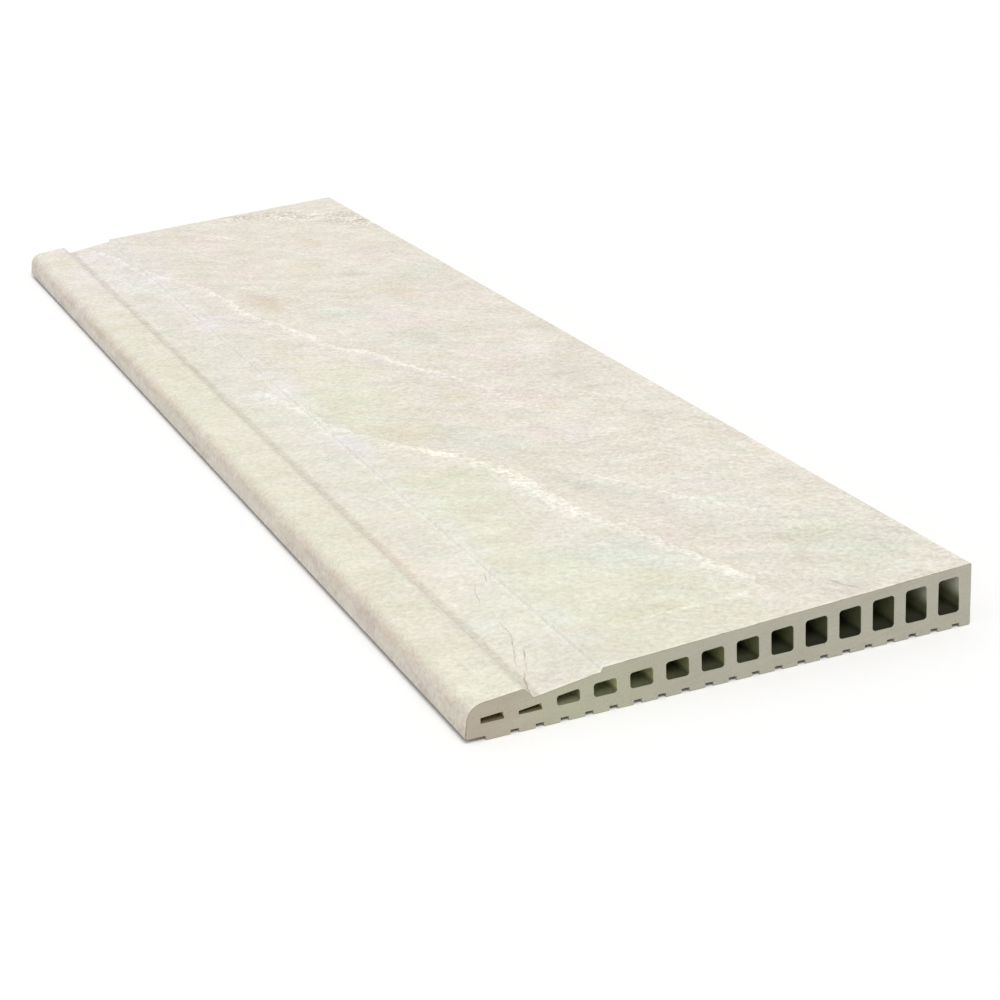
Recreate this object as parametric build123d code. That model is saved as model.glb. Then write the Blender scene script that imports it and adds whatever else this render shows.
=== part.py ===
"""Overflow edge tile for an infinity pool: one extruded and fired ceramic piece.

One section runs along the whole length and is cut square at both ends. The low
side is a rounded nose with a land, then the overflow channel, a ramp, a small
step, and a long walking face that rises evenly to the thick back edge. Fourteen
cores run through the piece, growing in height with it, and the back has
lengthwise ribs that key it into its mortar bed.

Units are millimetres. X runs across the tile from the nose (-X) to the thick
back edge (+X), Y along its length, +Z up. The origin is the centre of the
footprint, at the level of the rib bottoms.
"""

import os

from build123d import *

# ---------------------------------------------------------------- dimensions
LENGTH = 1200.0          # along the extrusion
WIDTH = 330.0            # nose to back edge
THICK_BACK = 40.06       # where the face would meet the back edge, 40 once rounded

# Section stations across the tile, measured from the nose (x) and from the
# rib bottoms (z).
RIB_HEIGHT = 2.6         # the ribs stand this far below the underside
NOSE_WALL_TOP = (2.49, 22.30)   # where the nose wall would meet the land
NOSE_RADIUS = 11.4
NOSE_FOOT = (-0.2, RIB_HEIGHT)   # where the nose wall would meet the underside
NOSE_FOOT_RADIUS = 1.5
LAND_END = (36.73, 25.90)       # where the land would meet the channel wall
LAND_CREST_RADIUS = 3.0
CHANNEL_FOOT = (42.37, 19.13)   # bottom corner of the channel
CHANNEL_RADIUS = 1.4
RAMP_TOP = (79.6, 24.64)
RAMP_TOP_RADIUS = 4.0
STEP_FOOT = (83.7, 24.85)
STEP_FOOT_RADIUS = 0.5
STEP_HEAD = (85.0, 27.60)
STEP_HEAD_RADIUS = 0.8
BACK_TOP_RADIUS = 1.2
BACK_FOOT_RADIUS = 1.2

# Cores. The first two are flat slots under the land and the channel, the
# third is low and sloped, and the rest share one width, floor and pitch.
CORE_FLOOR = 10.5
CORE_PITCH = 22.8
CORE_WIDTH = 14.4
CORE_4_CENTRE = 86.1
CORE_COUNT = 14
CORE_TOP_AT_4 = 19.0     # height of the roof at the middle of the fourth core
CORE_TOP_SLOPE = 0.0612  # rise of the roofs across the tile
CORE_RADIUS = 2.0
# left x, right x, floor left z, floor right z, roof left z, roof right z, radius
CORE_1 = (9.8, 23.7, 10.8, 10.8, 14.0, 14.9, 0.4)
CORE_2 = (32.8, 46.8, 10.9, 10.9, 13.0, 14.6, 0.4)
CORE_3 = (56.2, 70.1, 10.6, 10.6, 16.3, 18.05, 1.6)

# Ribs of the back. The first is the widest, and the last ends at the back edge.
RIB_1_LEFT = 12.4
RIB_1_RIGHT = 27.3
RIB_PITCH = 15.25
GAP_WIDTH = 5.1
RIB_COUNT = 21
RIB_EDGE_RADIUS = 0.4


# ------------------------------------------------------------------- section
def centred(x, z):
    """Section coordinates, moved so that x = 0 is the middle of the width."""
    return (x - WIDTH / 2, z)


def rounded(points):
    """A face whose corners are rounded. points holds (x, z, radius)."""
    face = make_face(Polyline(*[centred(x, z) for x, z, _ in points], close=True))
    for x, z, radius in points:
        if radius <= 0:
            continue
        at = centred(x, z)
        near = min(
            face.vertices(),
            key=lambda v: (v.X - at[0]) ** 2 + (v.Y - at[1]) ** 2,
        )
        face = fillet([near], radius)
    return face


outline = [
    (*NOSE_FOOT, NOSE_FOOT_RADIUS),
    (*NOSE_WALL_TOP, NOSE_RADIUS),
    (*LAND_END, LAND_CREST_RADIUS),
    (*CHANNEL_FOOT, CHANNEL_RADIUS),
    (*RAMP_TOP, RAMP_TOP_RADIUS),
    (*STEP_FOOT, STEP_FOOT_RADIUS),
    (*STEP_HEAD, STEP_HEAD_RADIUS),
    (WIDTH, THICK_BACK, BACK_TOP_RADIUS),
    (WIDTH, 0.0, BACK_FOOT_RADIUS),
]
# The underside, from the back edge to the nose: down each rib's left side and
# up the next gap.
for i in range(RIB_COUNT - 1, 0, -1):
    gap_left = RIB_1_RIGHT + (i - 1) * RIB_PITCH
    gap_right = gap_left + GAP_WIDTH
    outline += [
        (gap_right, 0.0, RIB_EDGE_RADIUS),
        (gap_right, RIB_HEIGHT, 0.0),
        (gap_left, RIB_HEIGHT, 0.0),
        (gap_left, 0.0, RIB_EDGE_RADIUS),
    ]
outline += [(RIB_1_LEFT, 0.0, RIB_EDGE_RADIUS), (RIB_1_LEFT, RIB_HEIGHT, 0.0)]

section = rounded(outline)


def core(left, right, floor_left, floor_right, roof_left, roof_right, radius):
    return rounded(
        [
            (left, floor_left, radius),
            (right, floor_right, radius),
            (right, roof_right, radius),
            (left, roof_left, radius),
        ]
    )


cores = [core(*CORE_1), core(*CORE_2), core(*CORE_3)]
for n in range(4, CORE_COUNT + 1):
    middle = CORE_4_CENTRE + (n - 4) * CORE_PITCH
    half = CORE_WIDTH / 2
    roof = CORE_TOP_AT_4 + CORE_TOP_SLOPE * (middle - CORE_4_CENTRE)
    cores.append(
        core(
            middle - half,
            middle + half,
            CORE_FLOOR,
            CORE_FLOOR,
            roof - CORE_TOP_SLOPE * half,
            roof + CORE_TOP_SLOPE * half,
            CORE_RADIUS,
        )
    )
for hole in cores:
    section -= hole

# ----------------------------------------------------------------- extrusion
# The section stands in the X-Z plane and is drawn out evenly to both ends.
edge_tile = extrude(Plane.XZ * section, amount=LENGTH / 2, both=True)
edge_tile = edge_tile.solids()[0]
edge_tile.label = "edge_tile"

os.makedirs("parts", exist_ok=True)
export_step(edge_tile, "parts/edge_tile.step")

box = edge_tile.bounding_box()
print("edge_tile", box.size, "volume mm3", round(edge_tile.volume))
print("z range", box.min.Z, box.max.Z, "faces", len(edge_tile.faces()))
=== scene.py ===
"""Looks of the infinity pool edge tile: one extruded ceramic piece with a printed
stone face, its bare fired body at the cut ends, in the cores and on the ribbed
back. Everything is in metres, in the CAD frame: X across the tile from the nose
to the back edge, Y along it, Z up from the rib bottoms."""

import math

import bmesh
import bpy
import numpy as np
from mathutils import Matrix, Vector
from mathutils.geometry import delaunay_2d_cdt


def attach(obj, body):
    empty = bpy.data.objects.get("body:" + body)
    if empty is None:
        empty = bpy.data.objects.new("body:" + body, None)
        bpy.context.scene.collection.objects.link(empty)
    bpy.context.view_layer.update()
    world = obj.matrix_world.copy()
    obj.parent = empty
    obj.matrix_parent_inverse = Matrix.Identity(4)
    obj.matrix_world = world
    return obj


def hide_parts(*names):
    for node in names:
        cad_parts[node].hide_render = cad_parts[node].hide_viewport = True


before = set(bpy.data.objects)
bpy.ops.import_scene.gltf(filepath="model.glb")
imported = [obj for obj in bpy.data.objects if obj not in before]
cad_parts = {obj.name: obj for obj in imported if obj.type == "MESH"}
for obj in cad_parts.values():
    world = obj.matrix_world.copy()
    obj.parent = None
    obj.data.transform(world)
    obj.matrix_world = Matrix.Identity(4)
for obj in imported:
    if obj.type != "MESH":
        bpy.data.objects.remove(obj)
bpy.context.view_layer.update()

MM = 0.001
W, L = 330.0, 1200.0

# ------------------------------------------------------------------ section
RIB_H = 2.6
OUTLINE = [  # x, z, radius, as in the CAD section, from the nose foot clockwise
    (-0.2, RIB_H, 1.5),
    (2.49, 22.30, 11.4),
    (36.73, 25.90, 3.0),
    (42.37, 19.13, 1.4),
    (79.6, 24.64, 4.0),
    (83.7, 24.85, 0.5),
    (85.0, 27.60, 0.8),
    (330.0, 40.06, 1.2),
    (330.0, 0.0, 1.2),
]
RIB_1_LEFT, RIB_1_RIGHT, RIB_PITCH, GAP, RIBS, RIB_R = 12.4, 27.3, 15.25, 5.1, 21, 0.4


def fillet_points(a, b, c, r, step):
    """Points of the arc that rounds corner b, spaced about step apart."""
    a, b, c = (np.array(p, float) for p in (a, b, c))
    u, v = (a - b) / np.linalg.norm(a - b), (c - b) / np.linalg.norm(c - b)
    if r <= 0:
        return [b]
    half = math.acos(float(np.clip(u @ v, -1, 1))) / 2
    cut = r / math.tan(half)
    centre = b + (u + v) / np.linalg.norm(u + v) * r / math.sin(half)
    p0, p1 = b + u * cut, b + v * cut
    a0 = math.atan2(*(p0 - centre)[::-1])
    a1 = math.atan2(*(p1 - centre)[::-1])
    turn = (a1 - a0 + math.pi) % (2 * math.pi) - math.pi
    n = max(3, int(math.ceil(abs(turn) * r / step)))
    return [
        centre + r * np.array([math.cos(a0 + turn * t), math.sin(a0 + turn * t)])
        for t in np.linspace(0, 1, n + 1)
    ]


def run(points, step_of, arc_of):
    """The closed outline with its corners rounded and its straight runs divided."""
    n = len(points)
    corners = [
        fillet_points(
            points[i - 1][:2], points[i][:2], points[(i + 1) % n][:2], points[i][2], arc_of(i)
        )
        for i in range(n)
    ]
    out, tag = [], []
    for i in range(n):
        for p in corners[i]:
            out.append(p)
            tag.append(i)
        a, b = corners[i][-1], corners[(i + 1) % n][0]
        gap = float(np.linalg.norm(b - a))
        k = int(gap // step_of(i))
        for t in range(1, k + 1):
            s = t / (k + 1)
            out.append(a * (1 - s) + b * s)
            tag.append(i)
    return np.array(out), np.array(tag)


outline = list(OUTLINE)
for i in range(RIBS - 1, 0, -1):
    left = RIB_1_RIGHT + (i - 1) * RIB_PITCH
    right = left + GAP
    outline += [(right, 0.0, RIB_R), (right, RIB_H, 0.0), (left, RIB_H, 0.0), (left, 0.0, RIB_R)]
outline += [(RIB_1_LEFT, 0.0, RIB_R), (RIB_1_LEFT, RIB_H, 0.0)]

TOP_END = 7  # corners 0..7 are the printed side, from the nose foot to the back arris
STEPS = {0: 2.2, 1: 2.6, 2: 1.6, 3: 2.6, 4: 2.0, 5: 0.9, 6: 2.55, 7: 6.0}
ARCS = {0: 0.55, 1: 1.1, 2: 0.5, 3: 0.35, 4: 1.2, 5: 0.25, 6: 0.3, 7: 0.4, 8: 0.5}
ring, ring_tag = run(outline, lambda i: STEPS.get(i, 99.0), lambda i: ARCS.get(i, 0.3))
arc7 = np.where(ring_tag == 7)[0]
top_last = int(arc7[len(fillet_points((85, 27.6), (330, 40.06), (330, 0), 1.2, 0.4)) - 1])

CORES = [
    [(9.8, 10.8), (23.7, 10.8), (23.7, 14.9), (9.8, 14.0), 0.4],
    [(32.8, 10.9), (46.8, 10.9), (46.8, 14.6), (32.8, 13.0), 0.4],
    [(56.2, 10.6), (70.1, 10.6), (70.1, 18.05), (56.2, 16.3), 1.6],
]
for n in range(4, 15):
    m = 86.1 + (n - 4) * 22.8
    roof = 19.0 + 0.0612 * (m - 86.1)
    CORES.append(
        [(m - 7.2, 10.5), (m + 7.2, 10.5), (m + 7.2, roof + 0.0612 * 7.2), (m - 7.2, roof - 0.0612 * 7.2), 2.0]
    )
holes = []
for c in CORES:
    pts = [(p[0], p[1], c[4]) for p in c[:4]]
    h, _ = run(pts, lambda i: 4.0, lambda i: 0.45)
    holes.append(h)


# ---------------------------------------------------------- repeatable noise
def lattice(seed, n):
    return np.random.default_rng(seed).random((n, n))


def noise2(x, y, seed, n=512):
    """Smooth value noise, 0..1, one cell per unit."""
    g = lattice(seed, n)
    xi, yi = np.floor(x).astype(int), np.floor(y).astype(int)
    fx, fy = x - xi, y - yi
    fx, fy = fx * fx * fx * (fx * (fx * 6 - 15) + 10), fy * fy * fy * (fy * (fy * 6 - 15) + 10)
    a, b = g[xi % n, yi % n], g[(xi + 1) % n, yi % n]
    c, d = g[xi % n, (yi + 1) % n], g[(xi + 1) % n, (yi + 1) % n]
    return (a * (1 - fx) + b * fx) * (1 - fy) + (c * (1 - fx) + d * fx) * fy


def cloud(x, y, seed, octaves=4):
    total, amp, norm = 0.0, 1.0, 0.0
    for o in range(octaves):
        total = total + amp * noise2(x * 2**o + 17.3 * o, y * 2**o + 5.1 * o, seed + o)
        norm += amp
        amp *= 0.5
    return total / norm


# ------------------------------------------------------------------ the mesh
def inset(loop, distance, outward):
    """A loop moved by distance (one value, or one for each point) along its own
    normals. outward True moves away from its inside."""
    nxt, prv = np.roll(loop, -1, 0), np.roll(loop, 1, 0)
    e0, e1 = loop - prv, nxt - loop
    e0 /= np.linalg.norm(e0, axis=1)[:, None]
    e1 /= np.linalg.norm(e1, axis=1)[:, None]
    area = np.sum(loop[:, 0] * nxt[:, 1] - nxt[:, 0] * loop[:, 1])
    side = 1.0 if area > 0 else -1.0
    n0 = np.c_[e0[:, 1], -e0[:, 0]] * side
    n1 = np.c_[e1[:, 1], -e1[:, 0]] * side
    m = n0 + n1
    m /= np.maximum(np.sum(m * n0, axis=1), 0.4)[:, None]
    return loop + m * (distance if outward else -distance)[:, None]


def within(points, loop):
    """True for each point that lies inside the loop."""
    x, z = points[:, 0], points[:, 1]
    inside = np.zeros(len(points), bool)
    for (x0, z0), (x1, z1) in zip(loop, np.roll(loop, -1, 0)):
        if z0 == z1:
            continue
        crosses = (z0 > z) != (z1 > z)
        inside ^= crosses & (x < (x1 - x0) * (z - z0) / (z1 - z0) + x0)
    return inside


def fill(loops):
    """Triangles of the first loop less the others, as indices into all of them in turn."""
    pts = np.vstack(loops)
    edges, first = [], 0
    for loop in loops:
        n = len(loop)
        edges += [(first + i, first + (i + 1) % n) for i in range(n)]
        first += n
    v, _, f, came_from, _, _ = delaunay_2d_cdt([Vector(q) for q in pts], edges, [], 0, 1e-7)
    back = [origin[0] for origin in came_from]
    tris = np.array([[back[k] for k in t] for t in f])
    middle = pts[tris].mean(axis=1)
    keep = within(middle, loops[0])
    for loop in loops[1:]:
        keep &= ~within(middle, loop)
    return tris[keep]


class Build:
    """Vertices and faces gathered one by one, each face with its material index."""

    def __init__(self):
        self.v, self.f, self.m = [], [], []

    def add(self, points):
        first = len(self.v)
        self.v.extend(points)
        return np.arange(first, first + len(points))

    def face(self, ids, material):
        self.f.append(tuple(int(i) for i in ids))
        self.m.append(material)


PRINT, BODY, CORE_SHADED, RIM = 0, 1, 2, 3
build = Build()


def strip(a, ya, b, yb, material, flip):
    """Joins two lines of vertices along Y that hold different numbers of points."""
    i = j = 0
    while i < len(a) - 1 or j < len(b) - 1:
        if j == len(b) - 1 or (i < len(a) - 1 and ya[i + 1] <= yb[j + 1]):
            tri = (a[i], a[i + 1], b[j])
            i += 1
        else:
            tri = (a[i], b[j + 1], b[j])
            j += 1
        build.face(tri[::-1] if flip else tri, material)


ARRIS = 0.32  # the cut ends' edges are worn this far, mm
n_ring = len(ring)
fine = np.arange(0, top_last + 1)  # columns of the printed side
coarse = np.arange(top_last + 1, n_ring)  # back edge, ribs and underside

rng = np.random.default_rng(7)


def ring_arris(end):
    """Wear of the outer edge at one end: a little uneven, with a few small nicks."""
    along = np.r_[0, np.cumsum(np.linalg.norm(np.diff(ring, axis=0), axis=1))]
    worn = ARRIS * (0.55 + 0.9 * cloud(along / 9.0, along * 0 + 3 * end, 90 + end, 3))
    for k in range(26):
        at, size, deep = rng.uniform(0, along[-1]), rng.uniform(0.8, 2.4), rng.uniform(0.1, 0.55)
        worn = worn + deep * np.exp(-(((along - at) / size) ** 2))
    slim = np.where((ring_tag > 8), 0.45, 1.0)
    return np.clip(worn * slim, 0.12, 0.9)


def end_rows(end):
    """The two rows of a cut end: where the side stops and the face begins."""
    worn = ring_arris(end)
    sign = -1 if end == 0 else 1
    y_side = sign * (L / 2) - sign * worn
    face_loop = inset(ring, worn * 0.9, False)
    return worn, y_side, face_loop


FINE_STEP = 2.95
rows_fine = np.linspace(-L / 2, L / 2, int(L / FINE_STEP) + 1)
rows_coarse = np.linspace(-L / 2, L / 2, 25)

ends = [end_rows(0), end_rows(1)]

# Relief of the printed side: shallow cleft waves and streaks, always pressed in.
STREAK = math.radians(-38)


def relief(u, v, z):
    """Depth in mm, 0 or more, of the stone relief at u across and v along."""
    a = u * math.cos(STREAK) + v * math.sin(STREAK)
    b = -u * math.sin(STREAK) + v * math.cos(STREAK)
    wave = cloud(a / 95.0 + 3.1, b / 34.0 + 7.7, 11, 3)
    ripple = cloud(a / 26.0, b / 7.5, 21, 3)
    grit = cloud(u / 5.2, v / 5.2, 31, 2)
    depth = 0.16 * wave + 0.055 * ripple + 0.02 * grit
    return depth


cols = []
for c in fine:
    x, z = ring[c]
    ys = rows_fine.copy()
    ys[0], ys[-1] = ends[0][1][c], ends[1][1][c]
    cols.append(np.c_[np.full(len(ys), x), ys, np.full(len(ys), z)])
grid = np.array(cols)  # column, row, xyz, in mm from the nose
u, v = grid[:, :, 0], grid[:, :, 1] + L / 2
nrm = np.zeros((len(fine), 2))
d = np.gradient(ring[: top_last + 2], axis=0)[: top_last + 1]
d /= np.linalg.norm(d, axis=1)[:, None]
nrm[:, 0], nrm[:, 1] = -d[:, 1], d[:, 0]  # outward
along_arc = np.r_[0, np.cumsum(np.linalg.norm(np.diff(ring[: top_last + 1], axis=0), axis=1))]
calm = np.ones(len(fine))
calm *= np.clip(along_arc / 6.0, 0, 1)
calm *= np.clip((along_arc[-1] - along_arc) / 4.0, 0, 1)
depth = relief(u, v, grid[:, :, 2]) * calm[:, None]
# The relief, pressed in along the outline's normals.
grid[:, :, 0] -= nrm[:, 0][:, None] * depth
grid[:, :, 2] -= nrm[:, 1][:, None] * depth

ids = []
for c in range(len(fine)):
    ids.append(build.add([tuple(p) for p in grid[c]]))
ids = np.array(ids)
for c in range(len(fine) - 1):
    for r in range(len(rows_fine) - 1):
        build.face((ids[c, r], ids[c, r + 1], ids[c + 1, r + 1], ids[c + 1, r]), PRINT)

low = []
for c in coarse:
    x, z = ring[c]
    ys = rows_coarse.copy()
    ys[0], ys[-1] = ends[0][1][c], ends[1][1][c]
    low.append(build.add([(x, y, z) for y in ys]))
low = np.array(low)
for c in range(len(coarse) - 1):
    for r in range(len(rows_coarse) - 1):
        build.face((low[c, r], low[c, r + 1], low[c + 1, r + 1], low[c + 1, r]), BODY)
fine_y_last = np.array([build.v[i][1] for i in ids[-1]])
fine_y_first = np.array([build.v[i][1] for i in ids[0]])
low_y_first = np.array([build.v[i][1] for i in low[0]])
low_y_last = np.array([build.v[i][1] for i in low[-1]])
strip(ids[-1], fine_y_last, low[0], low_y_first, BODY, False)
strip(low[-1], low_y_last, ids[0], fine_y_first, BODY, False)

# Cores, in the body's colour darkened as painted shade.
core_rows = np.array([-1, -0.985, -0.95, -0.88, -0.75, -0.5, 0, 0.5, 0.75, 0.88, 0.95, 0.985, 1]) * L / 2
core_ids, core_mouths = [], []
for k, h in enumerate(holes):
    n = len(h)
    sides = []
    arris = 0.22
    ys = core_rows.copy()
    ys[0] += arris
    ys[-1] -= arris
    for p in h:
        sides.append(build.add([(p[0], y, p[1]) for y in ys]))
    sides = np.array(sides)
    for i in range(n):
        j = (i + 1) % n
        for r in range(len(ys) - 1):
            build.face((sides[i, r], sides[i, r + 1], sides[j, r + 1], sides[j, r]), CORE_SHADED)
    mouth = inset(h, np.full(n, arris), True)
    core_ids.append(sides)
    core_mouths.append(mouth)

# Cut ends.
ring_side = list(ids) + list(low)
for end, y in ((0, -L / 2), (1, L / 2)):
    row = 0 if end == 0 else -1
    face_loop = ends[end][2]
    outer = build.add([(p[0], y, p[1]) for p in face_loop])
    flip = end == 1
    for i in range(n_ring):
        j = (i + 1) % n_ring
        a, b = ring_side[i][row], ring_side[j][row]
        quad = (a, b, outer[j], outer[i])
        build.face(quad[::-1] if flip else quad, RIM if i < top_last else BODY)
    loops, index = [face_loop], list(outer)
    for sides, mouth in zip(core_ids, core_mouths):
        ring_ids = build.add([(p[0], y, p[1]) for p in mouth])
        n = len(mouth)
        # The worn rims of the core mouths take the same painted-shade material.
        for i in range(n):
            j = (i + 1) % n
            a, b = sides[i, row], sides[j, row]
            quad = (a, b, ring_ids[j], ring_ids[i])
            build.face(quad[::-1] if not flip else quad, CORE_SHADED)
        loops.append(mouth)
        index += list(ring_ids)
    for tri in fill(loops):
        build.face([index[t] for t in tri], BODY)

verts = np.array(build.v, float)
verts[:, 0] -= W / 2
verts *= MM
mesh = bpy.data.meshes.new("edge_tile_fired")
mesh.from_pydata([tuple(p) for p in verts], [], build.f)
mesh.polygons.foreach_set("material_index", np.array(build.m, np.int32))
bm = bmesh.new()
bm.from_mesh(mesh)
bmesh.ops.recalc_face_normals(bm, faces=bm.faces)
bm.to_mesh(mesh)
open_edges = sum(1 for e in bm.edges if len(e.link_faces) != 2)
bm.free()
mesh.shade_smooth()
mesh.set_sharp_from_angle(angle=math.radians(32))
mesh.update()
tile = bpy.data.objects.new("edge_tile_fired", mesh)
bpy.context.scene.collection.objects.link(tile)
print("edge_tile_fired", len(mesh.vertices), "vertices", len(mesh.polygons), "faces", "open edges", open_edges)
mesh.calc_loop_triangles()
print("triangles", len(mesh.loop_triangles))


# ----------------------------------------------------------------- materials
class Nodes:
    """Short calls for building a node tree."""

    def __init__(self, name, dims="3D"):
        self.dims = dims
        self.turned = {}
        self.mat = bpy.data.materials.new(name)
        self.mat.use_nodes = True
        self.t = self.mat.node_tree
        self.t.nodes.clear()

    def node(self, kind, **props):
        n = self.t.nodes.new(kind)
        for k, val in props.items():
            setattr(n, k, val)
        return n

    def put(self, socket, value):
        if isinstance(value, bpy.types.NodeSocket):
            self.t.links.new(value, socket)
        elif value is not None:
            if isinstance(value, (tuple, list)) and socket.type == "RGBA" and len(value) == 3:
                value = (*value, 1.0)
            socket.default_value = value

    def math(self, op, a, b=None, c=None, clamp=False):
        n = self.node("ShaderNodeMath", operation=op, use_clamp=clamp)
        for s, x in zip(n.inputs, (a, b, c)):
            self.put(s, x)
        return n.outputs[0]

    def add(self, a, b):
        return self.math("ADD", a, b)

    def sub(self, a, b):
        return self.math("SUBTRACT", a, b)

    def mul(self, a, b):
        return self.math("MULTIPLY", a, b)

    def vmath(self, op, a, b=None, scale=None):
        n = self.node("ShaderNodeVectorMath", operation=op)
        self.put(n.inputs[0], a)
        if b is not None:
            self.put(n.inputs[1], b)
        if scale is not None:
            self.put(n.inputs["Scale"], scale)
        return n.outputs["Value"] if op in ("LENGTH", "DISTANCE", "DOT_PRODUCT") else n.outputs[0]

    def mapped(self, value, a, b, to_a=0.0, to_b=1.0, smooth=True):
        n = self.node("ShaderNodeMapRange", interpolation_type="SMOOTHSTEP" if smooth else "LINEAR")
        for s, x in zip(n.inputs, (value, a, b, to_a, to_b)):
            self.put(s, x)
        return n.outputs[0]

    def mix(self, fac, a, b, kind="MIX"):
        n = self.node("ShaderNodeMix", data_type="RGBA", blend_type=kind)
        self.put(n.inputs[0], fac)
        self.put(n.inputs[6], a)
        self.put(n.inputs[7], b)
        return n.outputs[2]

    def noise(self, vec, scale, detail=4.0, rough=0.5, distort=0.0, kind="FBM"):
        n = self.node("ShaderNodeTexNoise", noise_dimensions=self.dims, noise_type=kind)
        self.put(n.inputs["Vector"], vec)
        self.put(n.inputs["Scale"], scale)
        self.put(n.inputs["Detail"], detail)
        self.put(n.inputs["Roughness"], rough)
        self.put(n.inputs["Distortion"], distort)
        return n.outputs["Fac"]

    def noise_colour(self, vec, scale, detail=2.0):
        n = self.node("ShaderNodeTexNoise", noise_dimensions=self.dims)
        self.put(n.inputs["Vector"], vec)
        self.put(n.inputs["Scale"], scale)
        self.put(n.inputs["Detail"], detail)
        return n.outputs["Color"]

    def voronoi(self, vec, scale, feature="F1", rand=1.0):
        n = self.node("ShaderNodeTexVoronoi", feature=feature)
        self.put(n.inputs["Vector"], vec)
        self.put(n.inputs["Scale"], scale)
        self.put(n.inputs["Randomness"], rand)
        return n.outputs

    def ramp(self, fac, stops, kind="LINEAR"):
        n = self.node("ShaderNodeValToRGB")
        n.color_ramp.interpolation = kind
        e = n.color_ramp.elements
        while len(e) > 1:
            e.remove(e[-1])
        e[0].position = stops[0][0]
        e[0].color = (*stops[0][1], 1)
        for at, col in stops[1:]:
            k = e.new(at)
            k.color = (*col, 1)
        self.put(n.inputs[0], fac)
        return n.outputs[0]

    def place(self, vec, at, size, turn=0.0):
        """Coordinates of a patch: (0, 0) at its middle, 1 away at its edge."""
        key = (vec.node.name, vec.name, turn)
        if key not in self.turned:
            n = self.node("ShaderNodeMapping", vector_type="TEXTURE")
            self.put(n.inputs["Vector"], vec)
            n.inputs["Rotation"].default_value = (0, 0, math.radians(turn))
            self.turned[key] = n.outputs[0]
        c, s_ = math.cos(math.radians(turn)), math.sin(math.radians(turn))
        x, y = at[0] * c + at[1] * s_, -at[0] * s_ + at[1] * c
        out = self.vmath("MULTIPLY_ADD", self.turned[key], (1 / size[0], 1 / size[1], 1))
        out.node.inputs[2].default_value = (-x / size[0], -y / size[1], 0)
        return out

    def spot(self, vec, at, size, turn=0.0):
        """A soft patch: 1 in its middle, falling evenly to 0 at its edge."""
        away = self.vmath("LENGTH", self.place(vec, at, size, turn))
        return self.math("SUBTRACT", 1.0, away, clamp=True)

    def curve(self, value, points):
        """A smooth function through points, x and y both 0..1."""
        n = self.node("ShaderNodeFloatCurve")
        c = n.mapping.curves[0]
        pts = sorted(points)
        c.points[0].location = pts[0]
        c.points[1].location = pts[-1]
        for p in pts[1:-1]:
            c.points.new(*p)
        for p in c.points:
            p.handle_type = "AUTO"
        n.mapping.update()
        self.put(n.inputs["Value"], value)
        return n.outputs[0]

    def bump(self, height, strength, distance, normal=None):
        n = self.node("ShaderNodeBump")
        n.inputs["Strength"].default_value = strength
        n.inputs["Distance"].default_value = distance
        self.put(n.inputs["Height"], height)
        if normal is not None:
            self.put(n.inputs["Normal"], normal)
        return n.outputs[0]


def srgb(r, g, b):
    out = []
    for c in (r, g, b):
        c /= 255.0
        out.append(c / 12.92 if c <= 0.04045 else ((c + 0.055) / 1.055) ** 2.4)
    return tuple(out)


def surface(n, colour, rough, normal, specular=0.5):
    s = n.node("ShaderNodeBsdfPrincipled")
    n.put(s.inputs["Base Color"], colour)
    n.put(s.inputs["Roughness"], rough)
    s.inputs["Specular IOR Level"].default_value = specular
    n.put(s.inputs["Normal"], normal)
    out = n.node("ShaderNodeOutputMaterial")
    n.t.links.new(s.outputs[0], out.inputs[0])
    return s


# Printed stone face. The print's own coordinates are millimetres from the nose
# and from the near end. The print is wrapped down over the nose, the channel's wall
# and the step.
E_TOP = 1.08  # what the studio light gives a face that looks up


def tone(r, g, b, light=E_TOP):
    """The albedo that shows as this sRGB colour under the given light."""
    return tuple(c / light for c in srgb(r, g, b))


p = Nodes("printed_stone_face", "2D")
obj = p.node("ShaderNodeTexCoord").outputs["Object"]
whole = p.node("ShaderNodeVectorMath", operation="MULTIPLY_ADD")
p.put(whole.inputs[0], obj)
whole.inputs[1].default_value = (1000, 1000, 1000)
whole.inputs[2].default_value = (165, 600, 0)
sep = p.node("ShaderNodeSeparateXYZ")
p.put(sep.inputs[0], whole.outputs[0])
U0, V, Z = sep.outputs
wrap = p.mul(p.mapped(U0, 13.0, 2.0, smooth=False), p.sub(24.0, Z))
U = p.sub(p.sub(U0, wrap), p.mapped(U0, 36.7, 42.4, 3.2, 0.0, smooth=False))
U = p.sub(U, p.mapped(U0, 83.7, 85.0, 2.2, 0.0, smooth=False))
join = p.node("ShaderNodeCombineXYZ")
p.put(join.inputs[0], U)
p.put(join.inputs[1], V)
mm = join.outputs[0]

w1 = p.vmath("MULTIPLY_ADD", p.noise_colour(mm, 0.011, 2.0), (1, 1, 0))
w1.node.inputs[2].default_value = (-0.5, -0.5, 0)
w2 = p.vmath("MULTIPLY_ADD", p.noise_colour(mm, 0.07, 2.0), (1, 1, 0))
w2.node.inputs[2].default_value = (-0.5, -0.5, 0)


def warped(coarse, fine):
    """The print's coordinates made ragged by so many mm at two scales."""
    v = mm
    if coarse:
        n = p.vmath("MULTIPLY_ADD", w1, (coarse, coarse, 0))
        p.put(n.node.inputs[2], v)
        v = n
    if fine:
        n = p.vmath("MULTIPLY_ADD", w2, (fine, fine, 0))
        p.put(n.node.inputs[2], v)
        v = n
    return v


soft, rag, fine = warped(60, 10), warped(26, 9), warped(0, 3.5)


def away(n):
    """A noise value less its middle."""
    return p.sub(n, 0.5)


def scaled_sum(terms):
    total = None
    for value, gain in terms:
        n = p.node("ShaderNodeMath", operation="MULTIPLY_ADD")
        p.put(n.inputs[0], value)
        n.inputs[1].default_value = gain
        p.put(n.inputs[2], total if total is not None else 0.0)
        total = n.outputs[0]
    return total


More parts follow.
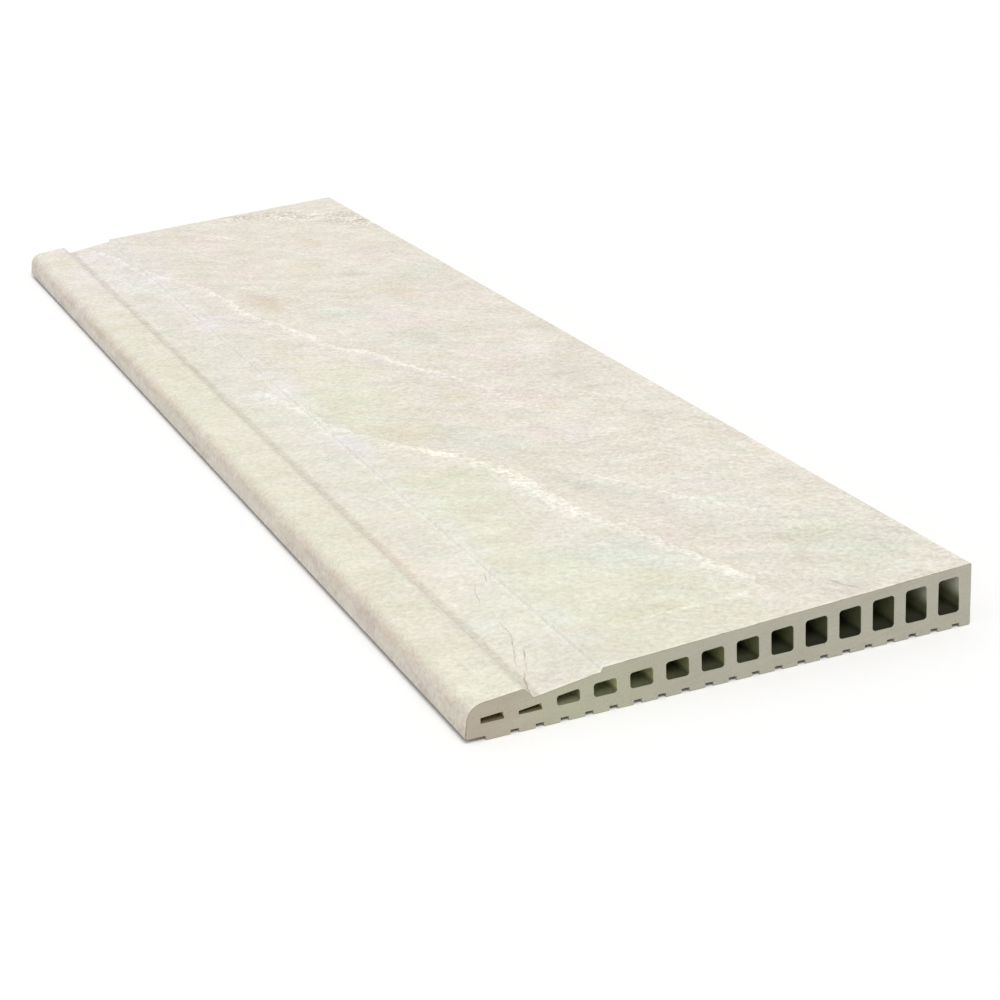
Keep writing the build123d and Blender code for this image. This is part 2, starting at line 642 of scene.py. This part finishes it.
broad = away(p.noise(p.place(rag, (0, 0), (130, 52), -42), 1.0, 3.0, 0.55))
streak = away(p.noise(p.place(rag, (31, 7), (36, 16), -40), 1.0, 4.0, 0.66))
thread = away(p.noise(p.place(fine, (0, 0), (10, 4.4), -36), 1.0, 4.0, 0.72))
grain = away(p.noise(fine, 0.27, 4.0, 0.78))

# Broad colour: yellow-green cream before the long veins, rosy beige beyond them.
near_tone, far_tone = tone(236, 232, 214), tone(236, 230, 217)
far_side = p.mapped(p.add(U, p.add(p.mul(V, 0.13), p.mul(broad, 300.0))), 120.0, 215.0)
col = p.vmath("SCALE", tuple(b - a for a, b in zip(near_tone, far_tone)), scale=far_side)
col = p.vmath("ADD", col, near_tone)


def lift(col, mask, levels):
    """Adds sRGB steps, at the tile's own tone, to a colour held as a vector."""
    step = p.vmath("SCALE", tuple(v * 0.0071 for v in levels), scale=mask)
    return step if col is None else p.vmath("ADD", col, step)


def by_turn(*dabs):
    """Patches in the order of their turns, which are rounded to share coordinates."""
    rounded = [(at, size, 5 * round(turn / 5), levels) for at, size, turn, levels in dabs]
    return sorted(rounded, key=lambda d: (d[1][0] > 24, d[2]))


def dab(col, vec, at, size, turn, levels):
    """Adds a soft patch of colour, strongest in its middle, in sRGB steps at the tile's own tone."""
    return lift(col, p.spot(vec, at, size, turn), levels)


patches = None
LILAC, TEAL, PINK, OLIVE = (1, -1, 5), (-5, 1, 2.5), (4, -3, 1), (-3, 2, -6)
OCHRE, BROWN, DIM = (-3, -6, -12), (-8, -14, -16), (-9, -9, -9)
for at, size, turn, levels in by_turn(
    ((120, 520), (40, 105), 8, OLIVE),
    ((122, 605), (36, 90), 8, (-2, 1.5, -4)),
    ((120, 300), (42, 90), 12, (-5, 0, -7)),
    ((112, 210), (40, 110), 10, (-2, 1, -4)),
    ((20, 640), (30, 90), 0, (-2, 1, -3)),
    ((18, 1060), (46, 190), 0, (6, 2, 9)),
    ((64, 1050), (24, 150), 0, (0, 3.5, 3)),
    ((98, 120), (60, 60), 0, (-2, 1, -3)),
    ((288, 69), (50, 60), 0, (-10, -4, -7)),
    ((133, 119), (40, 40), 0, (5, 6, 9)),
    ((295, 479), (34, 60), 20, (-8, -8, -7)),
    ((172, 385), (26, 62), 30, TEAL),
    ((158, 145), (32, 58), 30, TEAL),
    ((186, 125), (32, 56), 30, (-5, 2, 4)),
    ((150, 60), (90, 80), 0, (-1.5, 2.5, 0)),
    ((275, 20), (70, 46), 0, (-4, 0, -1)),
    ((275, 125), (34, 44), 20, (-4, 0, -1)),
    ((186, 765), (30, 60), 25, TEAL),
    ((292, 862), (26, 40), 10, TEAL),
    ((205, 240), (34, 56), 20, (-5, -1, -1)),
    ((246, 178), (40, 50), 30, (-4, 0, 1)),
    ((228, 640), (30, 60), 20, (-4, 0, 0)),
    ((88, 820), (26, 48), 10, LILAC),
    ((109, 1070), (14, 130), -2, LILAC),
    ((82, 450), (24, 52), 5, LILAC),
    ((258, 215), (14, 46), 52, (2, 2, 6)),
    ((290, 556), (15, 46), 50, (4, 3, 9)),
    ((88, 425), (15, 44), 5, (1, 1, 7)),
    ((226, 735), (26, 60), 10, LILAC),
    ((240, 355), (30, 40), 20, (1.5, -1.5, 3)),
    ((214, 372), (13, 20), 20, PINK),
    ((228, 470), (22, 60), 20, PINK),
    ((252, 560), (24, 60), 10, PINK),
    ((168, 1110), (36, 90), -10, PINK),
    ((170, 980), (30, 70), 0, (3.5, -2, 0)),
    ((116, 962), (12, 34), 0, PINK),
    ((238, 715), (40, 60), 20, (2, -2, 0)),
    ((208, 170), (30, 60), 10, (2.5, -3, 0)),
    ((36, 235), (16, 120), 4, (4, -3, -2)),
    ((300, 760), (30, 110), 15, (3, -2.5, 1)),
    ((280, 960), (50, 90), 20, (2.5, -2.5, 1)),
    ((146, 862), (17, 60), 12, BROWN),
    ((144, 832), (13, 34), 10, OCHRE),
    ((128, 438), (15, 34), 22, BROWN),
    ((147, 436), (9, 26), 10, OCHRE),
    ((250, 1030), (16, 30), 10, OCHRE),
    ((222, 940), (18, 34), 10, OCHRE),
    ((196, 485), (16, 26), 10, OCHRE),
    ((248, 424), (10, 22), 10, OCHRE),
    ((262, 800), (18, 50), 20, OCHRE),
    ((210, 115), (50, 14), -24, (-2, -3, -6)),
    ((128, 52), (50, 9), -20, (-1, -3, -6)),
    ((246, 884), (18, 20), 50, DIM),
    ((164, 608), (10, 26), 0, DIM),
    ((78, 1085), (9, 70), -4, DIM),
    ((226, 640), (16, 26), 0, DIM),
    ((190, 255), (10, 60), 6, DIM),
    ((252, 12), (22, 12), -30, DIM),
):
    patches = dab(patches, soft if size[0] > 24 else rag, at, size, turn, levels)


# The two long veins, as x over y.
def vein(points, reach):
    """Signed distance in mm from a vein through (u, v) points, plus beyond it, and how far it is in its reach."""
    lo, hi = min(q[1] for q in points), max(q[1] for q in points)
    t = p.mapped(V_rag, lo, hi, 0.0, 1.0, smooth=False)
    x = p.curve(t, [((q[1] - lo) / (hi - lo), q[0] / 330.0) for q in points])
    inside = p.mul(p.mapped(V, lo - reach, lo + reach), p.mapped(V, hi + reach, hi - reach))
    n = p.node("ShaderNodeMath", operation="MULTIPLY_ADD")
    p.put(n.inputs[0], x)
    n.inputs[1].default_value = -0.93 * 330.0
    p.put(n.inputs[2], p.mul(U_rag, 0.93))
    return n.outputs[0], inside


sr = p.node("ShaderNodeSeparateXYZ")
p.put(sr.inputs[0], warped(8, 9))
U_rag, V_rag = sr.outputs[0], sr.outputs[1]
V1 = [(60, 1180), (74, 1100), (86, 1040), (101, 985), (115, 930), (121, 880), (123, 820), (134, 780), (146, 735), (152, 695), (161, 668), (176, 640), (182, 610), (188, 590), (201, 556), (212, 520), (226, 455)]
V2 = [(70, 606), (80, 552), (88, 500), (104, 443), (124, 400), (142, 366), (154, 334), (161, 300), (163, 262), (168, 222), (180, 188), (191, 150), (201, 110), (208, 70), (212, 36)]
d1, in1 = vein(V1, 25)
d2, in2 = vein(V2, 16)
lump = away(p.noise(mm, 0.06, 3.0, 0.65))
crumple = p.mapped(p.add(thread, grain), -0.20, 0.14, 0.5, 1.0)
swell = p.mul(p.mapped(V, 175.0, 235.0), p.mapped(V, 345.0, 290.0))
veins = None
for dist, inside, wide, levels, edge, below in (
    (d1, in1, p.math("MULTIPLY_ADD", lump, 14.0, 4.0), (13, 13, 14), 0.5, (3, 2, 5)),
    (d2, in2, p.math("MULTIPLY_ADD", lump, 14.0, p.math("MULTIPLY_ADD", swell, 3.2, 5.8)), (11, 12, 12), 0.7, (2, 3, 4)),
):
    width = p.math("MAXIMUM", wide, 1.6)
    core_mask = p.math("SUBTRACT", 1.7, p.math("DIVIDE", p.math("ABSOLUTE", p.mul(dist, 1.7)), width), clamp=True)
    core_mask = p.mul(p.mul(core_mask, crumple), inside)
    veins = lift(veins, core_mask, levels)
    # A dark hairline along its far side, and crumpled dark seams within it.
    hair = p.mapped(p.math("ABSOLUTE", p.sub(dist, p.mul(width, 0.75))), 1.1, 0.0)
    seam = p.mapped(p.math("ABSOLUTE", streak), 0.022, 0.0)
    near = p.mapped(p.math("ABSOLUTE", dist), 15.0, 4.0)
    dark = p.mul(p.math("MAXIMUM", p.mul(hair, p.mapped(grain, -0.08, 0.06)), p.mul(p.mul(seam, near), 0.55)), inside)
    veins = lift(veins, dark, tuple(v * edge for v in (-30, -34, -38)))
    # Whiter stone on its near side, for a little way.
    lower = p.mul(p.mul(p.mapped(dist, 1.0, -6.0), p.mapped(dist, -26.0, -6.0)), inside)
    veins = lift(veins, lower, below)

# The broad pale stretch of the second vein, and fine bright lines.
threads = None
for at, size, turn, levels in by_turn(
    ((161, 292), (13, 60), 4, (15, 18, 16)),
    ((169, 232), (11, 44), 12, (15, 16, 15)),
    ((198, 100), (9, 60), 12, (10, 9, 9)),
    ((134, 385), (9, 34), 30, (11, 9, 3)),
    ((120, 402), (12, 28), 30, (14, 10, 11)),
    ((142, 370), (13, 22), 30, (15, 11, 14)),
    ((112, 345), (20, 5.0), -35, (14, 13, 12)),
    ((161, 318), (14, 20), 20, (9, 11, 11)),
    ((150, 345), (8, 20), 20, (12, 11, 5)),
    ((122, 855), (5, 60), 3, (14, 9, 10)),
    ((112, 935), (6, 44), 12, (11, 9, 14)),
    ((142, 745), (8, 30), 16, (13, 12, 10)),
    ((155, 712), (12, 14), 0, (10, 10, 14)),
    ((181, 714), (10, 12), 0, (12, 12, 16)),
    ((176, 1130), (4, 66), 28, (22, 20, 18)),
    ((188, 1108), (2.6, 40), 26, (22, 20, 18)),
    ((150, 1040), (3.4, 70), 22, (16, 15, 14)),
    ((228, 1000), (2.6, 95), 19, (20, 20, 20)),
    ((70, 980), (2.6, 75), 14, (14, 15, 14)),
    ((60, 1030), (2.2, 40), 8, (14, 15, 14)),
    ((196, 572), (2.8, 60), 23, (20, 22, 22)),
    ((238, 585), (3.0, 60), 20, (15, 17, 18)),
    ((171, 655), (2.8, 26), 40, (22, 22, 22)),
    ((212, 262), (2.0, 56), 26, (20, 20, 22)),
    ((236, 208), (2.0, 56), 27, (20, 20, 22)),
    ((262, 160), (1.8, 50), 30, (13, 13, 14)),
    ((240, 196), (2.4, 24), 50, (15, 13, 15)),
    ((208, 488), (2.6, 34), 26, (15, 14, 10)),
    ((262, 330), (2.2, 30), 12, (14, 12, 12)),
    ((158, 43), (36, 3.6), -5, (24, 25, 20)),
    ((196, 42), (16, 4.0), 5, (16, 17, 18)),
    ((96, 18), (20, 2.8), -40, (-22, -21, -20)),
    ((222, 88), (22, 4.0), -30, (-17, -15, -16)),
    ((250, 24), (9, 1.7), -70, (-58, -58, -56)),
    ((255, 13), (7, 1.5), -60, (-50, -50, -48)),
    ((246, 17), (8, 2.6), -60, (24, 24, 22)),
    ((112, 62), (34, 1.8), -22, (9, 9, 7)),
    ((38, 1090), (2.4, 50), 6, (13, 13, 13)),
    ((66, 330), (2.0, 80), 10, (10, 10, 10)),
    ((24, 190), (1.8, 60), 12, (10, 9, 8)),
    ((300, 250), (2.0, 90), 30, (11, 10, 10)),
    ((286, 420), (2.0, 80), 26, (11, 10, 10)),
    ((262, 690), (2.4, 90), 22, (12, 11, 12)),
    ((300, 900), (2.6, 90), 22, (12, 11, 12)),
):
    threads = dab(threads, fine, at, size, turn, levels)

threads = p.vmath("SCALE", threads, scale=p.mapped(p.add(thread, grain), -0.16, 0.14, 0.3, 0.85))
for part in (patches, veins, threads):
    col = p.vmath("ADD", col, part)

# Fine pale and dark lines that wander through the whole print.
wander = away(p.noise(p.place(rag, (70, 40), (150, 34), -68), 1.0, 3.0, 0.5))
pale_line = p.mul(p.mapped(p.math("ABSOLUTE", wander), 0.0085, 0.0), p.mapped(broad, -0.02, 0.07))
dark_line = p.mul(p.mapped(p.math("ABSOLUTE", p.sub(wander, 0.06)), 0.006, 0.0), p.mapped(broad, 0.02, -0.06))
line = p.sub(pale_line, p.mul(dark_line, 0.7))

# Hairline cracks.
crack = None
for a, b in (
    ((73, 163), (62, 126)),
    ((83, 168), (78, 152)),
    ((64, 101), (62, 78)),
    ((63, 84), (57, 60)),
    ((58, 66), (48, 38)),
    ((62, 60), (50, 28)),
    ((51, 36), (41, 2)),
    ((46, 20), (38, -8)),
):
    half = math.hypot(b[0] - a[0], b[1] - a[1]) / 2
    turn = math.degrees(math.atan2(b[1] - a[1], b[0] - a[0]))
    wide = 0.62 if a[1] > 90 else 0.78
    part = p.spot(fine, ((a[0] + b[0]) / 2 - 2.2, (a[1] + b[1]) / 2), (half * 1.25, wide), turn)
    crack = part if crack is None else p.math("MAXIMUM", crack, part)
crack = p.mul(p.mapped(crack, 0.12, 0.60), p.mapped(p.add(grain, thread), -0.16, 0.10, 0.10, 1.0))

# A coarser, speckled band by the far corner.
band = None
for at, size, turn in (((272, 1150), (76, 30), -46), ((316, 1084), (24, 60), 8), ((225, 1188), (40, 16), -20)):
    part = p.spot(rag, at, size, turn)
    band = part if band is None else p.math("MAXIMUM", band, part)

# All of the print's light and dark together, a little stronger in blue.
strength = p.math("MULTIPLY_ADD", band, 3.4, p.mapped(p.add(U, p.mul(V, 0.22)), 90.0, 330.0, 1.0, 1.38))
texture = scaled_sum(((grain, 0.56), (thread, 0.26), (streak, 0.25)))
texture = p.mul(texture, strength)
texture = p.add(texture, scaled_sum(((broad, 0.14), (line, 0.075), (crack, -0.42), (band, -0.05))))
gain = p.vmath("ADD", p.vmath("SCALE", (0.90, 1.0, 1.14), scale=texture), (1, 1, 1))
col = p.vmath("MULTIPLY", col, gain)
hue = p.vmath("MULTIPLY_ADD", p.noise_colour(p.place(rag, (11, 90), (34, 20), -40), 1.0, 4.0), (0.07, 0.046, 0.07))
hue.node.inputs[2].default_value = (-0.035, -0.023, -0.035)
col = p.vmath("ADD", col, hue)

# Painted highlight: the print is made paler and cooler by the step, where the step
# catches the light. Painted shade: a soft dark line along the channel's foot and crest.
step_highlight = p.mul(p.mapped(U0, 83.0, 85.2), p.mapped(U0, 108.0, 90.0))
step_highlight = p.mul(step_highlight, p.mapped(streak, -0.12, 0.06, 0.35, 1.0))
# Painted shade along the channel's foot and along the land's crest before it.
channel_foot_shade = p.mapped(p.math("ABSOLUTE", p.sub(U0, 43.4)), 5.0, 0.9)
channel_crest_shade = p.mapped(p.math("ABSOLUTE", p.sub(U0, 36.2)), 3.0, 0.6)
# Painted highlight: a paler line on the step's riser.
riser_highlight = p.mul(p.mapped(U0, 83.2, 83.9), p.mapped(U0, 85.6, 84.8))
ramp = p.mul(p.mapped(U0, 45.0, 51.0), p.mapped(U0, 86.0, 84.6))
# Painted shade on the nose's side: darker towards the bottom, along the turn of the nose and at its foot. The patchy
# part is partly painted shade and partly the print's brown patches.
nose_wall_shade = p.mapped(Z, 21.0, 12.0)
nose_wall_shade = p.mul(nose_wall_shade, p.mapped(U0, 14.0, 6.0))
nose_shade_patches = p.mul(nose_wall_shade, p.mapped(p.noise(p.place(mm, (0, 0), (16, 46), 0), 1.0, 3.0, 0.6), 0.45, 0.68))
by_nose = p.mapped(U0, 14.0, 6.0)
nose_turn_shade = p.mul(p.mapped(p.math("ABSOLUTE", p.sub(Z, 17.6)), 6.2, 0.8), by_nose)
nose_foot_shade = p.mul(p.mul(p.mapped(Z, 10.0, 4.0), p.mapped(V, 250.0, 1000.0, 0.3, 1.0)), by_nose)
for mask, levels in (
    (nose_turn_shade, (-8, -12, -10)),
    (nose_foot_shade, (-13, -11, -5)),
    (step_highlight, (1.5, 3.5, 9)),
    (ramp, (0, 0.5, 4.5)),
    (channel_foot_shade, (-17, -17, -12)),
    (channel_crest_shade, (-7, -7, -5)),
    (riser_highlight, (15, 16, 17)),
    (nose_wall_shade, (-12, -15, -10)),
    (nose_shade_patches, (-11, -14, -13)),
):
    col = lift(col, mask, levels)

height = scaled_sum(((grain, 0.9), (thread, 1.2)))
rough = p.mapped(grain, -0.25, 0.25, 0.48, 0.66, smooth=False)
surface(p, col, rough, p.bump(height, 0.45, 0.0005), 0.4)


# Bare fired body of the cut ends, the back edge and the ribbed underside.
E_END = 1.09  # what the light gives the near cut end


def fired_body(name, tones, cored):
    """tones: at the nose, by the channel, and everywhere else."""
    q = Nodes(name)
    o = q.node("ShaderNodeTexCoord").outputs["Object"]
    m_node = q.node("ShaderNodeVectorMath", operation="MULTIPLY_ADD")
    q.put(m_node.inputs[0], o)
    m_node.inputs[1].default_value = (1000, 1000, 1000)
    m_node.inputs[2].default_value = (165, 600, 0)
    m = m_node.outputs[0]
    xyz = q.node("ShaderNodeSeparateXYZ")
    q.put(xyz.inputs[0], m)
    X, Y, Zq = xyz.outputs
    cloud_ = q.sub(q.noise(m, 0.05, 3.0, 0.55), 0.5)
    edge_x = q.add(X, q.mul(cloud_, 40.0))
    c = q.mix(q.mapped(edge_x, 18, 62), tones[0], tones[1])
    c = q.mix(q.mapped(edge_x, 84, 140), c, tones[2])
    grain_ = q.sub(q.noise(m, 0.75, 4.0, 0.7), 0.5)
    # Lines that the die leaves along the piece. The saw's own marks cross the ends.
    ends = q.mul(q.mapped(Y, 0.4, 3.0), q.mapped(Y, 1199.6, 1197.0))
    drag = q.sub(q.noise(q.place(m, (0, 0), (1.1, 300)), 1.0, 3.0, 0.6), 0.5)
    saw = q.node("ShaderNodeMapping", vector_type="TEXTURE")
    q.put(saw.inputs[0], m)
    saw.inputs["Rotation"].default_value = (0, math.radians(-8), 0)
    saw.inputs["Scale"].default_value = (60, 300, 1.3)
    saw_n = q.sub(q.noise(saw.outputs[0], 1.0, 2.0, 0.6), 0.5)
    lines = q.mix(ends, saw_n, drag)
    grit = q.voronoi(m, 0.55)
    pit = q.mapped(grit[0], 0.22, 0.10)
    t = q.add(q.mul(cloud_, 0.16), q.mul(grain_, 0.34))
    t = q.add(t, q.mul(lines, 0.16))
    t = q.add(t, q.mul(pit, -0.13))
    dust = q.mul(q.mapped(q.noise(m, 0.016, 4.0, 0.6), 0.5, 0.68), ends)
    g = q.vmath("MULTIPLY_ADD", t, (0.95, 1.0, 1.1))
    g.node.inputs[2].default_value = (1, 1, 1)
    c = q.vmath("MULTIPLY", c, g)
    if not cored:
        c = q.mix(q.mul(dust, 0.22), c, tone(216, 212, 200))
    elif name == "core_wall_painted_shade":
        # Painted shade and light in the cores: floors darkest, upper walls lighter, darker by the mouths, and the
        # third core lightened with depth so that it looks evenly lit.
        painted_core_shade = q.mapped(Zq, 10.6, 16.5, 0.30, 1.35)
        low = q.mapped(Zq, 10.7, 13.6, 0.75, 3.3)
        painted_core_shade = q.add(painted_core_shade, q.mul(q.mapped(X, 230.0, 140.0), q.sub(low, painted_core_shade)))
        depth = q.sub(600.0, q.math("ABSOLUTE", q.sub(Y, 600.0)))
        painted_core_shade = q.mul(painted_core_shade, q.mapped(depth, 0.0, 15.0, 0.72, 1.5))
        third_core_painted_light = q.mapped(depth, 1.0, 24.0, 0.92, 3.6)
        third = q.mul(q.mapped(X, 53.0, 54.0), q.mapped(X, 73.0, 72.0))
        c = q.vmath("SCALE", c, scale=q.add(painted_core_shade, q.mul(third, q.sub(third_core_painted_light, painted_core_shade))))
        # Painted light on the upper walls of the last cores.
        pale = q.mul(q.mapped(X, 286.0, 306.0), q.mapped(Zq, 17.0, 27.0, 0.0, 0.9))
        c = q.mix(pale, c, srgb(202, 201, 184))
    h = q.add(q.mul(grain_, 0.9), q.mul(lines, 0.7))
    h = q.add(h, q.mul(pit, -0.5))
    surface(q, c, q.mapped(grain_, -0.2, 0.2, 0.72, 0.9, smooth=False), q.bump(h, 0.5, 0.0004), 0.3)
    return q.mat


body = fired_body(
    "bare_fired_body",
    (tone(174, 165, 148, E_END), tone(174, 173, 151, E_END), tone(171, 168, 153, E_END)),
    False,
)
# The cores' walls: the body's colour made much darker, as painted shade inside the holes.
core = fired_body("core_wall_painted_shade", (srgb(140, 128, 96), srgb(126, 128, 99), srgb(84, 86, 60)), True)
# The print's own edge, where the saw has gone through it.
rim = fired_body("glaze_edge", (srgb(150, 138, 116), srgb(150, 146, 124), srgb(150, 144, 122)), True)

for m in (p.mat, body, core, rim):
    mesh.materials.append(m)

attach(tile, "root")
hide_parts("edge_tile")

# --------------------------------------------------------- floor and lights
floor_mesh = bpy.data.meshes.new("floor")
s = 14.0
floor_mesh.from_pydata([(-s, -s, 0), (s, -s, 0), (s, s, 0), (-s, s, 0)], [], [(0, 1, 2, 3)])
floor = bpy.data.objects.new("floor", floor_mesh)
floor.location.z = -0.0002
bpy.context.scene.collection.objects.link(floor)
f = Nodes("pale_floor")
fs = f.node("ShaderNodeBsdfPrincipled")
fs.inputs["Base Color"].default_value = (0.95, 0.95, 0.95, 1)
fs.inputs["Roughness"].default_value = 0.9
fs.inputs["Specular IOR Level"].default_value = 0.1
fo = f.node("ShaderNodeOutputMaterial")
f.t.links.new(fs.outputs[0], fo.inputs[0])
floor_mesh.materials.append(f.mat)

world = bpy.data.worlds.new("studio")
bpy.context.scene.world = world
world.use_nodes = True
bg = world.node_tree.nodes["Background"]
bg.inputs[0].default_value = (1.0, 1.0, 1.0, 1)
bg.inputs[1].default_value = 0.55


def sun(name, azimuth, elevation, strength, angle, colour=(1, 1, 1)):
    """A soft studio light from a compass direction in the row frame, degrees."""
    light = bpy.data.lights.new(name, "SUN")
    light.energy = strength
    light.angle = math.radians(angle)
    light.color = colour
    o = bpy.data.objects.new(name, light)
    a, e = math.radians(azimuth), math.radians(elevation)
    towards = Vector((math.cos(a) * math.cos(e), math.sin(a) * math.cos(e), math.sin(e)))
    o.rotation_mode = "QUATERNION"
    o.rotation_quaternion = towards.to_track_quat("Z", "Y")
    bpy.context.scene.collection.objects.link(o)
    return o


sun("key", -98, 55, 2.03, 35, (1.0, 0.995, 0.985))

# ------------------------------------------------------------------- camera
cam_data = bpy.data.cameras.new("camera")
cam = bpy.data.objects.new("camera", cam_data)
bpy.context.scene.collection.objects.link(cam)
cam_data.sensor_width = 36.0
cam_data.lens = 76.725
cam_data.clip_start, cam_data.clip_end = 0.05, 60.0


def aim(location, azimuth, elevation, roll):
    a, e, r = (math.radians(t) for t in (azimuth, elevation, roll))
    back = Vector((math.sin(a) * math.cos(e), -math.cos(a) * math.cos(e), math.sin(e)))
    right = Vector((0, 0, 1)).cross(back).normalized()
    up = back.cross(right)
    right2 = right * math.cos(r) + up * math.sin(r)
    up2 = back.cross(right2)
    m = Matrix((right2, up2, back)).transposed().to_4x4()
    m.translation = Vector(location)
    cam.matrix_world = m


aim(((-367.27 - 165) * MM, (-985.84 - 600) * MM, 538.78 * MM), -21.8703, 20.6246, -3.1303)
bpy.context.scene.camera = cam

bpy.context.scene.view_settings.view_transform = "Standard"
bpy.context.scene.view_settings.look = "None"
